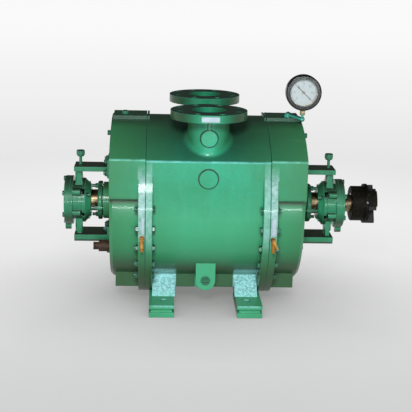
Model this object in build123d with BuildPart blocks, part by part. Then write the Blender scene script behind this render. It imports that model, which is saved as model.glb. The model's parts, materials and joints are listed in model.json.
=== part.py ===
from build123d import *
import os

# Liquid ring vacuum pump with a crowned manifold hood, two top nozzles and a bearing bracket at each end.
# X runs along the shaft towards the coupling, Y away from the front, Z up.
# The origin is the centre of the foot bolt pattern on the base plane. Sizes are in millimetres.

os.makedirs("parts", exist_ok=True)

# Centre casing
shaft_height = 296.0
barrel_half_width = 250.0
barrel_half_height = 238.0
crown_height = 274.0
crease_height = 177.0
joint_x = 184.0
gasket = 2.0
casting_wall = 14.0
bore_half_width = 230.0
bore_half_height = 206.0
duct_floor = 95.0
duct_web = 16.0
ring_radius = 284.0
ring_thickness = 20.0
ring_top = 150.0
keel_half_width = 135.0
keel_depth = 242.0

# Nozzles, four inch flanges of class 150
neck_diameter = 124.0
neck_wall_gap = 18.0
flange_height = 320.0
flange_diameter = 228.6
flange_thickness = 23.9
flange_bolt_circle = 190.5
flange_holes = 8
flange_hole = 19.0
nozzle_bore = 102.0
neck_boss_radius = 24.5
neck_boss_height = 244.0
wall_boss_radius = 28.0
wall_boss_height = 127.0
boss_proud = 6.0
neck_rib_width = 9.0
neck_rib_length = 28.0

# Drain boss and feet
drain_boss_width = 60.0
drain_boss_front = 200.0
drain_boss_top = 147.0
drain_boss_drop = 55.0
drain_plug_radius = 15.0
drain_plug_depth = 14.0
foot_inner_x = 95.0
foot_width = 76.0
foot_front = 271.0
foot_back = 70.0
foot_height = 38.0
foot_sole = 15.0
foot_groove = 11.0
foot_groove_depth = 6.0
foot_bolt_x = 127.0
foot_bolt_y = 218.0
foot_hole = 22.0
web_width = 70.0
web_front = 184.0
web_back = 45.0
web_slant = 64.0

# Heads
head_end = 292.0
head_half_width = 254.0
head_crease = 181.0
head_step = 64.0
head_barrel = 238.0
head_chamfer = 9.0
head_keel_end = 276.0
pad_half_width = 55.0
pad_height = 280.0
pad_start = 177.0
pad_end = 288.0
chamber_radius = 190.0
cone_seat_radius = 200.0
cone_seat_depth = 12.0
stuffing_tube = 70.0
stuffing_inner = 235.0
duct_port_inner = 45.0
duct_port_outer = 150.0
duct_port_low = 110.0

# Joint bolts
joint_bolt_inset = 18.0
joint_bolt_first = 172.0
joint_bolt_arc = 53.0
joint_bolt_radius = 6.0
nut_play = 0.1
bolt_clearance = 0.75
hex_corner = 10.4
hex_height = 8.0
bolt_end = 4.0

# Stuffing boxes
nose_radius = 58.0
nose_end = 319.0
box_radius = 42.0
box_bottom = 262.0
packing_width = 8.0
packing_gap = 0.2
packing_count = 4
lantern_width = 10.0
gland_gap = 3.0
gland_flange = 14.0
gland_radius = 61.0
gland_round = 4.0
gland_lobe_radius = 12.0
stud_circle = 51.5
stud_radius = 5.0
stud_count = 4
stud_angle = 15.5
stud_depth = 20.0
stud_end = 356.0
gland_nut_height = 9.0
gland_nut_corner = 8.8

# Shaft line
shaft_radius = 27.5
rotor_seat_radius = 32.0
rotor_seat_half = 180.0
sleeve_radius = 33.5
sleeve_start = 180.0
sleeve_end = 357.0
spacer_radius = 31.5
running_clearance = 0.5
slide_clearance = 0.3
coupling_near = 467.0
left_shaft_tip = 428.0
shaft_tip = 517.0
seat_fit = 0.05
shaft_chamfer = 2.0

# Rotor and port cones
rotor_radius = 205.0
rotor_half = 182.0
rotor_hub_radius = 62.0
rotor_hub_half = 92.0
blade_count = 12
blade_thickness = 9.0
blade_sweep = 26.0
blade_bow = 34.0
shroud_thickness = 12.0
cone_root_radius = 92.0
cone_tip_radius = 78.0
cone_tip_x = 96.0
cone_wall = 12.0
cone_clearance = 1.5
suction_port_angle = 70.0
discharge_port_angle = 35.0
port_near = 112.0
port_far = 168.0
key_width = 16.0
key_height = 10.0
rotor_key_half = 60.0
coupling_key_length = 38.0

# Bearing brackets
bracket_start = 292.0
bracket_plate = 14.0
plate_half_width = 66.0
upper_plate_low = 84.0
upper_plate_high = 142.0
lower_plate_low = -155.0
lower_plate_high = -72.0
arm_end = 410.0
arm_top = 114.7
arm_thickness = 14.5
arm_half_width = 41.5
lower_arm_top = -101.6
lower_arm_thickness = 22.5
lower_arm_half_width = 50.0
lower_arm_chamfer = 8.0
drum_start = 376.0
drum_end = 422.0
drum_radius = 61.0
drum_flange_start = 414.0
drum_flange_radius = 77.0
drum_inner_flange = 8.0
drum_inner_radius = 70.0
drum_rib_half_width = 64.0
drum_rib_thickness = 20.0
drum_rib_round = 8.0
upper_rib_height = 37.0
lower_rib_height = -29.0
neck_start = 386.0
neck_end = 409.0
neck_half_width = 20.0
neck_edge = 5.0
post_x = 395.0
post_half_width = 6.5
post_flare = 7.5
post_reach = 27.0
post_seat = 3.0
upper_stud_inner = 26.0
upper_stud_outer = 53.5
upper_stud_high = 129.0
upper_stud_low = 99.0
lower_stud_y = 30.0
lower_stud_high = -86.0
lower_stud_low = -141.0
bracket_stud_root = 282.0

# Bearings
bearing_start = 384.0
bearing_width = 25.0
bearing_outer = 50.0
inner_race_outer = 34.0
outer_race_inner = 44.0
roller_count = 10
roller_length = 15.0
roller_play = 0.08
cage_inner = 36.5
cage_outer = 41.5
cage_margin = 3.0
pocket_play = 0.06
locknut_radius = 36.0
locknut_width = 9.0

# Bearing covers
cover_radius = 77.0
cover_end = 440.0
cover_cavity = 39.0
cover_cavity_end = 431.0
cover_spigot = 43.0
cover_lug_drop = 96.0
cover_lug_half = 15.0
cover_screw_circle = 69.0
cover_screw_radius = 4.5
cover_screw_corner = 8.0
cover_screw_head = 5.0
cover_screw_count = 6
cover_screw_angle = 30.0
inner_cover_radius = 68.0
inner_cover_end = 358.0
inner_cover_slope = 43.0
inner_seat_depth = 8.0
inner_seat_radius = 7.5
inner_screw_circle = 56.0
inner_screw_radius = 3.5
inner_screw_corner = 6.0
inner_screw_head = 4.0
inner_screw_angle = 60.5
inner_screw_depth = 12.0

# Grease cups
cup_x = 392.0
cup_stem_radius = 4.7
cup_stem_root = 10.0
cup_low = 141.0
cup_radius = 10.5
cup_high = 152.5
cap_low = 145.5
cap_high = 160.0
cap_radius = 13.0
cap_bore = 10.8
cap_roof = 3.0

# Coupling half
hub_radius = 55.5
hub_end = 508.0
jaw_radius = 63.0
jaw_plate_end = 518.0
jaw_end = 544.0
jaw_bore = 24.0
jaw_angle = 152.0
set_screw_angle = 165.0
leg_width = 13.0
leg_reach = 60.0
spider_ring = 21.0
spider_bore = 12.0
spider_end = 542.0
spider_gap = 0.3
set_screw_radius = 4.0
set_screw_x = 513.0

# Vacuum gauge on the right head
gauge_x = 288.0
gauge_y = -100.0
gauge_height = 367.0
gauge_radius = 54.0
gauge_depth = 34.0
gauge_back = 5.0
bezel_bore = 41.5
bezel_lip = 5.0
bezel_round = 4.0
dial_radius = 46.0
dial_thickness = 1.5
dial_setback = 15.0
glass_thickness = 2.0
pointer_length = 27.0
pointer_tail = 31.0
pointer_width = 2.2
pointer_head_length = 8.0
pointer_head_width = 6.0
pointer_hub = 4.0
pointer_thickness = 1.2
pointer_gap = 2.0
pointer_pin_radius = 2.0
pointer_rest_angle = 136.0
tap_x = 252.0
tap_y = -34.0
tap_radius = 11.0
tap_thread = 7.0
tap_depth = 15.0
pipe_height = 288.0
pipe_radius = 6.3
pipe_wall = 1.5
pipe_fall = 3.0
stem_radius = 4.0
stem_start = 298.0
gauge_hex_corner = 8.0

# Cocks, plugs and the water inlet
cock_x = 193.5
cock_drop = 47.0
cock_base_corner = 8.0
cock_base_sunk = 2.4
cock_base_proud = 5.0
cock_proud = 18.0
cock_radius = 5.0
cock_depth = 20.0
cock_spout = 37.0
cock_spout_radius = 6.0
cock_spout_taper = 3.0
handle_thickness = 4.0
handle_width = 8.0
handle_inset = 1.2
handle_length = 26.0
handle_tail = 8.0
handle_hub = 6.5
right_handle_turn = 30.0
plug_radius = 9.3
plug_height = 12.0
plug_y = -20.0
plug_x = 252.0
end_plug_y = -120.0
end_plug_height = 238.0
end_plug_radius = 8.0
end_plug_length = 10.0
end_plug_thread = 5.5
nipple_y = -92.0
nipple_height = -125.0
nipple_radius = 12.0
nipple_bore = 8.5
nipple_end = 347.0
nipple_collar = 17.5
nipple_collar_length = 38.0
nipple_notches = 6
nipple_notch_width = 4.0
nipple_notch_depth = 8.0

# Values worked out from the ones above
nozzle_spacing = 2 * (barrel_half_width - neck_diameter / 2 - neck_wall_gap)
joint_bolt_circle = ring_radius - joint_bolt_inset
cock_base_back = ring_radius - cock_base_sunk
cock_base_front = ring_radius + cock_base_proud
cock_front = ring_radius + cock_proud
handle_middle = cock_front + slide_clearance + handle_thickness / 2
casing_end = joint_x - gasket / 2
head_start = joint_x + gasket / 2
cone_flange_end = head_start + cone_seat_depth
roller_radius = (outer_race_inner - inner_race_outer) / 2 - roller_play
roller_circle = (outer_race_inner + inner_race_outer) / 2
bearing_end = bearing_start + bearing_width
gland_start = nose_end + gland_gap
gland_end = gland_start + gland_flange
lantern_start = box_bottom + 2 * packing_width
packing_end = box_bottom + packing_count * packing_width + lantern_width
shaft_axis = Axis((0, 0, shaft_height), (1, 0, 0))


def across(x):
    """A plane across the shaft at x, with its own origin on the shaft axis."""
    return Plane(origin=(x, 0, shaft_height), x_dir=(0, 1, 0), z_dir=(1, 0, 0))


def level(height):
    """A horizontal plane at a height above the shaft axis."""
    return Plane.XY.offset(shaft_height + height)


def facing(front):
    """An upright plane that faces the front, at the distance front before the shaft."""
    return Plane(origin=(0, -front, shaft_height), x_dir=(1, 0, 0), z_dir=(0, -1, 0))


def lengthwise(side):
    """An upright plane through the shaft axis, with its own x axis outwards on one side."""
    return Plane(origin=(0, 0, shaft_height), x_dir=(side, 0, 0), z_dir=(0, -side, 0))


def save(builder, name):
    """Labels a finished piece and writes its file."""
    builder.part.label = name
    export_step(builder.part, f"parts/{name}.step")


def crowned(half_width, crease, top, floor):
    """Draws the hood's outline: upright walls and a crowned roof above the height floor."""
    with BuildLine() as outline:
        Polyline((-half_width, crease), (-half_width, floor), (half_width, floor), (half_width, crease))
        ThreePointArc((half_width, crease), (0, top), (-half_width, crease))
    make_face(outline.edges())


def drum(side, start, end, outer, inner=0.0, mode=Mode.ADD):
    """Adds or cuts a round length on the shaft axis, from start to end on one side."""
    with BuildSketch(across(side * start)) as disc:
        Circle(outer)
        if inner > 0:
            Circle(inner, mode=Mode.SUBTRACT)
    extrude(disc.sketch, amount=side * (end - start), mode=mode)


def slab(side, start, end, width, low, high, mode=Mode.ADD):
    """Adds or cuts a block from start to end along the shaft, between the heights low and high."""
    with BuildSketch(across(side * start)) as block:
        with Locations((0, (low + high) / 2)):
            Rectangle(width, high - low)
    extrude(block.sketch, amount=side * (end - start), mode=mode)


def ring_flange(side, start, end):
    """Adds the lower joint flange, which comes out of the hood wall and runs round below."""
    with BuildSketch(across(side * start)) as ring:
        Circle(ring_radius)
        with Locations((0, ring_top)):
            Rectangle(3 * ring_radius, 2 * ring_radius, align=(Align.CENTER, Align.MIN), mode=Mode.SUBTRACT)
    extrude(ring.sketch, amount=side * (end - start))


def joint_bolt_shapes(draw):
    """Draws one shape at each joint bolt: three at the front, three at the back, one at the bottom."""
    with PolarLocations(joint_bolt_circle, 3, joint_bolt_first, joint_bolt_arc, endpoint=True):
        draw()
    with PolarLocations(
        joint_bolt_circle, 3, 540 - joint_bolt_first - joint_bolt_arc, joint_bolt_arc, endpoint=True
    ):
        draw()
    with PolarLocations(joint_bolt_circle, 1, 270):
        draw()


def joint_bolt_holes(side, start, end):
    """Cuts the bolt holes of one joint flange."""
    with BuildSketch(across(side * start)) as holes:
        joint_bolt_shapes(lambda: Circle(joint_bolt_radius + bolt_clearance))
    extrude(holes.sketch, amount=side * (end - start), mode=Mode.SUBTRACT)


def duct_outline():
    """Draws the two gas ducts between the barrel and the roof, apart from the web between them."""
    crowned(
        barrel_half_width - casting_wall,
        crease_height - casting_wall / 2,
        crown_height - casting_wall,
        duct_floor,
    )
    Ellipse(bore_half_width + casting_wall, bore_half_height + casting_wall, mode=Mode.SUBTRACT)
    with Locations((0, crown_height)):
        Rectangle(duct_web, crown_height, mode=Mode.SUBTRACT)


# Centre casing: barrel, hood, nozzles, keel, bosses and feet in one casting
with BuildPart() as body_casing:
    with BuildSketch(across(-casing_end)):
        crowned(barrel_half_width, crease_height, crown_height, 0)
        Ellipse(barrel_half_width, barrel_half_height)
        with Locations((0, -keel_depth)):
            Rectangle(2 * keel_half_width, keel_depth / 2, align=(Align.CENTER, Align.MIN))
    extrude(amount=2 * casing_end)
    for side in (-1, 1):
        ring_flange(side, casing_end - ring_thickness, casing_end)
        slab(side, pad_start, casing_end, 2 * pad_half_width, crown_height - casting_wall, pad_height)
    # Necks and flanges of the two nozzles
    with BuildSketch(level(crease_height)):
        with GridLocations(0, nozzle_spacing, 1, 2):
            Circle(neck_diameter / 2)
    extrude(amount=flange_height - crease_height)
    saddles = edges(Select.LAST).filter_by(lambda e: e.geom_type not in (GeomType.CIRCLE, GeomType.LINE))
    fillet(saddles, neck_wall_gap - 1)
    with BuildSketch(level(flange_height - flange_thickness)):
        with GridLocations(0, nozzle_spacing, 1, 2):
            Circle(flange_diameter / 2)
    extrude(amount=flange_thickness)
    # Round pads on the front neck and on the front wall, and the short rib above the upper one
    neck_front = nozzle_spacing / 2 + neck_diameter / 2
    with BuildSketch(facing(neck_front + boss_proud)):
        with Locations((0, neck_boss_height)):
            Circle(neck_boss_radius)
        with Locations((0, neck_boss_height)):
            Rectangle(neck_rib_width, neck_boss_radius + neck_rib_length, align=(Align.CENTER, Align.MIN))
    extrude(amount=-neck_diameter / 4)
    with BuildSketch(facing(barrel_half_width + boss_proud)):
        with Locations((0, wall_boss_height)):
            Circle(wall_boss_radius)
    extrude(amount=-2 * boss_proud)
    # Drain boss low on the front, round below
    with BuildSketch(facing(drain_boss_front)):
        with Locations((0, -drain_boss_top)):
            Rectangle(drain_boss_width, drain_boss_drop, align=(Align.CENTER, Align.MAX))
        with Locations((0, -drain_boss_top - drain_boss_drop)):
            Circle(drain_boss_width / 2)
    extrude(amount=-drain_boss_width)
    with BuildSketch(facing(drain_boss_front)):
        with Locations((0, -drain_boss_top - drain_boss_drop)):
            Circle(drain_plug_radius)
    extrude(amount=-drain_plug_depth, mode=Mode.SUBTRACT)
    # Four feet with a groove round each sole
    foot_centre_x = foot_inner_x + foot_width / 2
    foot_length = foot_front - foot_back
    foot_centre_y = (foot_front + foot_back) / 2
    with BuildSketch(Plane.XY):
        with GridLocations(2 * foot_centre_x, 2 * foot_centre_y, 2, 2):
            Rectangle(foot_width, foot_length)
    extrude(amount=foot_sole)
    with BuildSketch(Plane.XY.offset(foot_sole)):
        with GridLocations(2 * foot_centre_x, 2 * foot_centre_y, 2, 2):
            Rectangle(foot_width - 2 * foot_groove_depth, foot_length - 2 * foot_groove_depth)
    extrude(amount=foot_groove)
    with BuildSketch(Plane.XY.offset(foot_sole + foot_groove)):
        with GridLocations(2 * foot_centre_x, 2 * foot_centre_y, 2, 2):
            Rectangle(foot_width, foot_length)
    extrude(amount=foot_height - foot_sole - foot_groove)
    # Hollows: the pumping chamber, the two ducts, the nozzles
    with BuildSketch(across(-casing_end)):
        Ellipse(bore_half_width, bore_half_height)
    extrude(amount=2 * casing_end, mode=Mode.SUBTRACT)
    with BuildSketch(across(-casing_end)):
        duct_outline()
    extrude(amount=2 * casing_end, mode=Mode.SUBTRACT)
    with BuildSketch(level(flange_height)):
        with GridLocations(0, nozzle_spacing, 1, 2):
            Circle(nozzle_bore / 2)
    extrude(amount=crown_height - casting_wall - flange_height - nozzle_bore / 2, mode=Mode.SUBTRACT)
    # Bolt holes
    with BuildSketch(level(flange_height)):
        with GridLocations(0, nozzle_spacing, 1, 2):
            with PolarLocations(flange_bolt_circle / 2, flange_holes, 180 / flange_holes):
                Circle(flange_hole / 2)
    extrude(amount=-flange_thickness, mode=Mode.SUBTRACT)
    with BuildSketch(Plane.XY):
        with GridLocations(2 * foot_bolt_x, 2 * foot_bolt_y, 2, 2):
            Circle(foot_hole / 2)
    extrude(amount=foot_height, mode=Mode.SUBTRACT)
    for side in (-1, 1):
        joint_bolt_holes(side, casing_end - ring_thickness, casing_end)
    # Foot webs, which lean back from the feet up to the barrel wall
    for x in (-foot_bolt_x - web_width / 2, foot_bolt_x - web_width / 2):
        for back in (-1, 1):
            with BuildSketch(across(x)) as web:
                Polygon(
                    (back * web_front, foot_height - shaft_height),
                    (back * (web_front - web_slant), foot_height + web_slant - shaft_height),
                    (back * web_back, -(barrel_half_height + bore_half_height) / 2),
                    (back * web_back, foot_height - shaft_height),
                    align=None,
                )
            extrude(web.sketch, amount=web_width)
save(body_casing, "body_casing")


def make_head(side, name):
    """End head: it carries on the hood, the barrel and the keel, and holds the stuffing box."""
    with BuildPart() as head:
        with BuildSketch(across(side * head_start)):
            crowned(head_half_width, head_crease, crown_height, head_step)
        extrude(amount=side * (head_end - head_start))
        drum(side, head_start, head_end - head_chamfer, head_barrel)
        with BuildSketch(across(side * (head_end - head_chamfer))):
            Circle(head_barrel)
        extrude(amount=side * head_chamfer, taper=45)
        slab(side, head_start, head_keel_end, 2 * keel_half_width, -keel_depth, -keel_depth / 2)
        slab(side, head_start, pad_end, 2 * pad_half_width, crown_height - casting_wall, pad_height)
        ring_flange(side, head_start, head_start + ring_thickness)
        drum(side, head_end, nose_end, nose_radius)
        # Ducts and the two chambers round the stuffing box, with the web between them
        with BuildSketch(across(side * head_start)):
            duct_outline()
        extrude(amount=side * (head_end - casting_wall - head_start), mode=Mode.SUBTRACT)
        with BuildSketch(across(side * cone_flange_end)):
            Circle(chamber_radius)
            Rectangle(duct_web, 2 * chamber_radius, mode=Mode.SUBTRACT)
        extrude(amount=side * (stuffing_inner - cone_flange_end), mode=Mode.SUBTRACT)
        with BuildSketch(across(side * stuffing_inner)):
            Circle(chamber_radius)
            Circle(stuffing_tube, mode=Mode.SUBTRACT)
            Rectangle(duct_web, 2 * chamber_radius, mode=Mode.SUBTRACT)
        extrude(amount=side * (head_end - casting_wall - stuffing_inner), mode=Mode.SUBTRACT)
        # Passages from the ducts down into the chambers
        with BuildSketch(across(side * (head_start + ring_thickness))):
            with Locations((0, duct_port_low)):
                Rectangle(2 * duct_port_outer, duct_port_low, align=(Align.CENTER, Align.MIN))
                Rectangle(
                    2 * duct_port_inner, duct_port_low, align=(Align.CENTER, Align.MIN), mode=Mode.SUBTRACT
                )
            Ellipse(
                bore_half_width + casting_wall, bore_half_height + casting_wall, mode=Mode.INTERSECT
            )
        extrude(amount=side * (stuffing_inner - head_start - ring_thickness), mode=Mode.SUBTRACT)
        drum(side, head_start, cone_flange_end, cone_seat_radius, mode=Mode.SUBTRACT)
        # Stuffing box bore and its throat
        drum(side, cone_flange_end, box_bottom, sleeve_radius + running_clearance, mode=Mode.SUBTRACT)
        drum(side, box_bottom, nose_end, box_radius, mode=Mode.SUBTRACT)
        joint_bolt_holes(side, head_start, head_start + ring_thickness)
        with BuildSketch(across(side * nose_end)):
            with PolarLocations(stud_circle, stud_count, stud_angle):
                Circle(stud_radius)
        extrude(amount=-side * stud_depth, mode=Mode.SUBTRACT)
        with BuildSketch(across(side * head_end)):
            bracket_stud_shapes(lambda: Circle(joint_bolt_radius))
        extrude(amount=side * (bracket_stud_root - head_end), mode=Mode.SUBTRACT)
        # Tapped holes for the plugs, the gauge, the cock and the water inlet
        tap_places = [(side * plug_x, plug_y if side < 0 else tap_y)]
        with BuildSketch(level(pad_height)):
            with Locations(*tap_places):
                Circle(tap_thread)
        extrude(amount=-tap_depth, mode=Mode.SUBTRACT)
        with BuildSketch(across(side * head_end)):
            with Locations((end_plug_y, end_plug_height)):
                Circle(end_plug_thread)
        extrude(amount=-side * end_plug_length, mode=Mode.SUBTRACT)
        with BuildSketch(facing(ring_radius)):
            with Locations((side * cock_x, -cock_drop)):
                Circle(cock_radius)
        extrude(amount=-cock_depth, mode=Mode.SUBTRACT)
        if side < 0:
            with BuildSketch(across(side * head_end)):
                with Locations((nipple_y, nipple_height)):
                    Circle(nipple_radius)
            extrude(amount=-side * casting_wall, mode=Mode.SUBTRACT)
    save(head, name)


def bracket_stud_shapes(draw):
    """Draws one shape at each stud that holds a bearing bracket."""
    with Locations(
        (-upper_stud_inner, upper_stud_high),
        (upper_stud_inner, upper_stud_high),
        (-upper_stud_outer, upper_stud_low),
        (upper_stud_outer, upper_stud_low),
        (-lower_stud_y, lower_stud_high),
        (lower_stud_y, lower_stud_high),
        (-lower_stud_y, lower_stud_low),
        (lower_stud_y, lower_stud_low),
    ):
        draw()


make_head(-1, "left_head")
make_head(1, "right_head")

# Flat gaskets between the casing and the two heads, open where the ducts pass
with BuildPart() as head_gaskets:
    for side in (-1, 1):
        with BuildSketch(across(side * casing_end)):
            Circle(ring_radius)
            with Locations((0, ring_top)):
                Rectangle(3 * ring_radius, ring_radius, align=(Align.CENTER, Align.MIN), mode=Mode.SUBTRACT)
            crowned(barrel_half_width, crease_height, crown_height, 0)
            Ellipse(bore_half_width, bore_half_height, mode=Mode.SUBTRACT)
        extrude(amount=side * gasket)
        with BuildSketch(across(side * casing_end)):
            duct_outline()
        extrude(amount=side * gasket, mode=Mode.SUBTRACT)
        joint_bolt_holes(side, casing_end, head_start)
save(head_gaskets, "head_gaskets")


def make_port_cone(side, name):
    """Port cone: a flange seated in the head and a hollow cone that reaches into the rotor."""
    with BuildPart() as cone:
        drum(side, head_start, cone_flange_end, cone_seat_radius - slide_clearance)
        with BuildSketch(lengthwise(side)) as wall:
            Polygon(
                (cone_flange_end, 0),
                (cone_flange_end, cone_root_radius),
                (head_start, cone_root_radius),
                (cone_tip_x, cone_tip_radius),
                (cone_tip_x, 0),
                align=None,
            )
        revolve(wall.sketch, axis=shaft_axis)
        with BuildSketch(lengthwise(side)) as hollow:
            Polygon(
                (cone_flange_end, sleeve_radius + cone_wall),
                (cone_flange_end, cone_root_radius - cone_wall),
                (head_start, cone_root_radius - cone_wall),
                (cone_tip_x + cone_wall, cone_tip_radius - cone_wall),
                (cone_tip_x + cone_wall, sleeve_radius + cone_wall),
                align=None,
            )
        revolve(hollow.sketch, axis=shaft_axis, mode=Mode.SUBTRACT)
        # Web between the suction half and the discharge half
        with BuildSketch(across(side * cone_tip_x)) as web:
            Rectangle(duct_web, 2 * (cone_tip_radius - cone_wall / 2))
        extrude(web.sketch, amount=side * (cone_flange_end - cone_tip_x))
        # Ports through the cone wall, two for suction and two for discharge
        for angle in (180 - suction_port_angle / 2, 360 - suction_port_angle / 2):
            port(side, angle, suction_port_angle)
        for angle in (90 - discharge_port_angle, 270 - discharge_port_angle):
            port(side, angle, discharge_port_angle / 2)
        drum(side, cone_tip_x, cone_flange_end, sleeve_radius + running_clearance, mode=Mode.SUBTRACT)
    save(cone, name)


def port(side, start_angle, sweep):
    """Cuts one port through the cone wall, over an arc round the shaft."""
    with BuildSketch(across(side * port_near)) as slot:
        with BuildLine():
            first = Vector(cone_root_radius + cone_wall, 0).rotate(Axis.Z, start_angle)
            middle = Vector(cone_root_radius + cone_wall, 0).rotate(Axis.Z, start_angle + sweep / 2)
            last = Vector(cone_root_radius + cone_wall, 0).rotate(Axis.Z, start_angle + sweep)
            Line((0, 0), first)
            ThreePointArc(first, middle, last)
            Line(last, (0, 0))
        make_face()
        Circle(cone_tip_radius - cone_wall - running_clearance, mode=Mode.SUBTRACT)
    extrude(slot.sketch, amount=side * (port_far - port_near), mode=Mode.SUBTRACT)


make_port_cone(-1, "left_port_cone")
make_port_cone(1, "right_port_cone")


# Rotor: hub, centre shroud, end shrouds and blades that bend forward
with BuildPart() as rotor:
    drum(1, -rotor_hub_half, rotor_hub_half, rotor_hub_radius)
    drum(1, -shroud_thickness / 2, shroud_thickness / 2, rotor_radius)
    with BuildSketch(mode=Mode.PRIVATE) as blade:
        root = rotor_hub_radius - blade_thickness
        tip = rotor_radius + blade_thickness
        half = blade_thickness / 2
        middle = Vector((root + tip) / 2, blade_bow)
        end = Vector(tip, 0).rotate(Axis.Z, blade_sweep)
        with BuildLine():
            ThreePointArc((root, half), middle + Vector(0, half), end + Vector(0, half))
            Line(end + Vector(0, half), end - Vector(0, half))
            ThreePointArc(end - Vector(0, half), middle - Vector(0, half), (root, -half))
            Line((root, -half), (root, half))
        make_face()
    with BuildSketch(across(-rotor_half)):
        with PolarLocations(0, blade_count):
            add(blade.sketch)
        Circle(rotor_radius, mode=Mode.INTERSECT)
    extrude(amount=2 * rotor_half)
    for side in (-1, 1):
        drum(side, rotor_half - shroud_thickness, rotor_half, rotor_radius, cone_root_radius)
    # Room for the port cones at both ends
    for side in (-1, 1):
        with BuildSketch(lengthwise(side)):
            Polygon(
                (cone_tip_x - cone_clearance, 0),
                (cone_tip_x - cone_clearance, cone_tip_radius + cone_clearance),
                (head_start, cone_root_radius + cone_clearance),
                (head_start, 0),
                align=None,
            )
        revolve(axis=shaft_axis, mode=Mode.SUBTRACT)
    drum(1, -rotor_hub_half, rotor_hub_half, rotor_seat_radius + seat_fit, mode=Mode.SUBTRACT)
    with BuildSketch(across(-rotor_hub_half)):
        with Locations((0, rotor_seat_radius)):
            Rectangle(key_width, key_height)
    extrude(amount=2 * rotor_hub_half, mode=Mode.SUBTRACT)
save(rotor, "rotor")

# Shaft with the rotor seat in the middle and the keyways of the rotor and the coupling
with BuildPart() as shaft:
    drum(1, -left_shaft_tip, shaft_tip, shaft_radius)
    chamfer(edges().filter_by(GeomType.CIRCLE), shaft_chamfer)
    drum(1, -rotor_seat_half, rotor_seat_half, rotor_seat_radius)
    with BuildSketch(across(-rotor_key_half)):
        with Locations((0, rotor_seat_radius)):
            Rectangle(key_width, key_height)
    extrude(amount=2 * rotor_key_half, mode=Mode.SUBTRACT)
    with BuildSketch(across(coupling_near)):
        with Locations((0, shaft_radius)):
            Rectangle(key_width, key_height)
    extrude(amount=coupling_key_length, mode=Mode.SUBTRACT)
save(shaft, "shaft")

# Keys of the rotor and of the coupling
with BuildPart() as shaft_keys:
    with BuildSketch(across(-rotor_key_half)):
        with Locations((0, rotor_seat_radius)):
            Rectangle(key_width, key_height)
    extrude(amount=2 * rotor_key_half)
    with BuildSketch(across(coupling_near)):
        with Locations((0, shaft_radius)):
            Rectangle(key_width, key_height)
    extrude(amount=coupling_key_length)
save(shaft_keys, "shaft_keys")


def make_sleeve(side, name):
    """Shaft sleeve under the packing."""
    with BuildPart() as sleeve:
        drum(side, sleeve_start, sleeve_end, sleeve_radius, shaft_radius + seat_fit)
        chamfer(edges().filter_by(GeomType.CIRCLE).sort_by(SortBy.RADIUS)[-2:], seat_fit * 10)
    save(sleeve, name)


make_sleeve(-1, "left_shaft_sleeve")
make_sleeve(1, "right_shaft_sleeve")

# Spacer rings between the sleeves and the bearings
with BuildPart() as spacer_rings:
    for side in (-1, 1):
        drum(side, sleeve_end, bearing_start, spacer_radius, shaft_radius + seat_fit)
save(spacer_rings, "spacer_rings")

# Packing rings of both stuffing boxes
with BuildPart() as packing_rings:
    for side in (-1, 1):
        for first in (box_bottom, lantern_start + lantern_width):
            for start in (first, first + packing_width):
                drum(
                    side,
                    start,
                    start + packing_width - packing_gap,
                    box_radius - seat_fit,
                    sleeve_radius + slide_clearance,
                )
save(packing_rings, "packing_rings")

# Lantern rings with a groove for the sealing water
with BuildPart() as lantern_rings:
    for side in (-1, 1):
        lantern_end = lantern_start + lantern_width - packing_gap
        drum(side, lantern_start, lantern_end, box_radius - seat_fit, sleeve_radius + slide_clearance)
        drum(
            side,
            lantern_start + lantern_width / 4,
            lantern_end - lantern_width / 4,
            box_radius,
            box_radius - packing_width / 3,
            mode=Mode.SUBTRACT,
        )
save(lantern_rings, "lantern_rings")


def make_gland(side, name, nuts_name):
    """Gland follower that presses the packing, and the nuts that move with it."""
    with BuildPart() as follower:
        drum(side, gland_start, gland_end, gland_radius)
        fillet(edges().filter_by(GeomType.CIRCLE), gland_round)
        with BuildSketch(across(side * gland_start)):
            with PolarLocations(stud_circle, stud_count, stud_angle):
                Circle(gland_lobe_radius)
        extrude(amount=side * gland_flange)
        drum(side, packing_end + slide_clearance, gland_start, box_radius - slide_clearance)
        drum(
            side,
            packing_end,
            gland_end,
            sleeve_radius + running_clearance,
            mode=Mode.SUBTRACT,
        )
        with BuildSketch(across(side * gland_start)):
            with PolarLocations(stud_circle, stud_count, stud_angle):
                Circle(stud_radius + bolt_clearance)
        extrude(amount=side * gland_flange, mode=Mode.SUBTRACT)
    save(follower, name)
    with BuildPart() as nuts:
        with BuildSketch(across(side * gland_end)):
            with PolarLocations(stud_circle, stud_count, stud_angle):
                RegularPolygon(gland_nut_corner, 6)
                Circle(stud_radius + slide_clearance, mode=Mode.SUBTRACT)
        extrude(amount=side * gland_nut_height)
    save(nuts, nuts_name)


make_gland(-1, "left_gland_follower", "left_gland_nuts")
make_gland(1, "right_gland_follower", "right_gland_nuts")

# Studs of the two glands
with BuildPart() as gland_studs:
    for side in (-1, 1):
        with BuildSketch(across(side * (nose_end - stud_depth))):
            with PolarLocations(stud_circle, stud_count, stud_angle):
                Circle(stud_radius)
        extrude(amount=side * (stud_end - nose_end + stud_depth))
save(gland_studs, "gland_studs")

# Bolts and nuts of the two joint flanges
with BuildPart() as joint_bolts:
    for side in (-1, 1):
        with BuildSketch(across(side * (casing_end - ring_thickness))):
            joint_bolt_shapes(lambda: RegularPolygon(hex_corner, 6))
        extrude(amount=-side * hex_height)
        with BuildSketch(across(side * (casing_end - ring_thickness))):
            joint_bolt_shapes(lambda: Circle(joint_bolt_radius))
        extrude(amount=side * (gasket + 2 * ring_thickness + hex_height + bolt_end))
save(joint_bolts, "joint_bolts")

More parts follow.
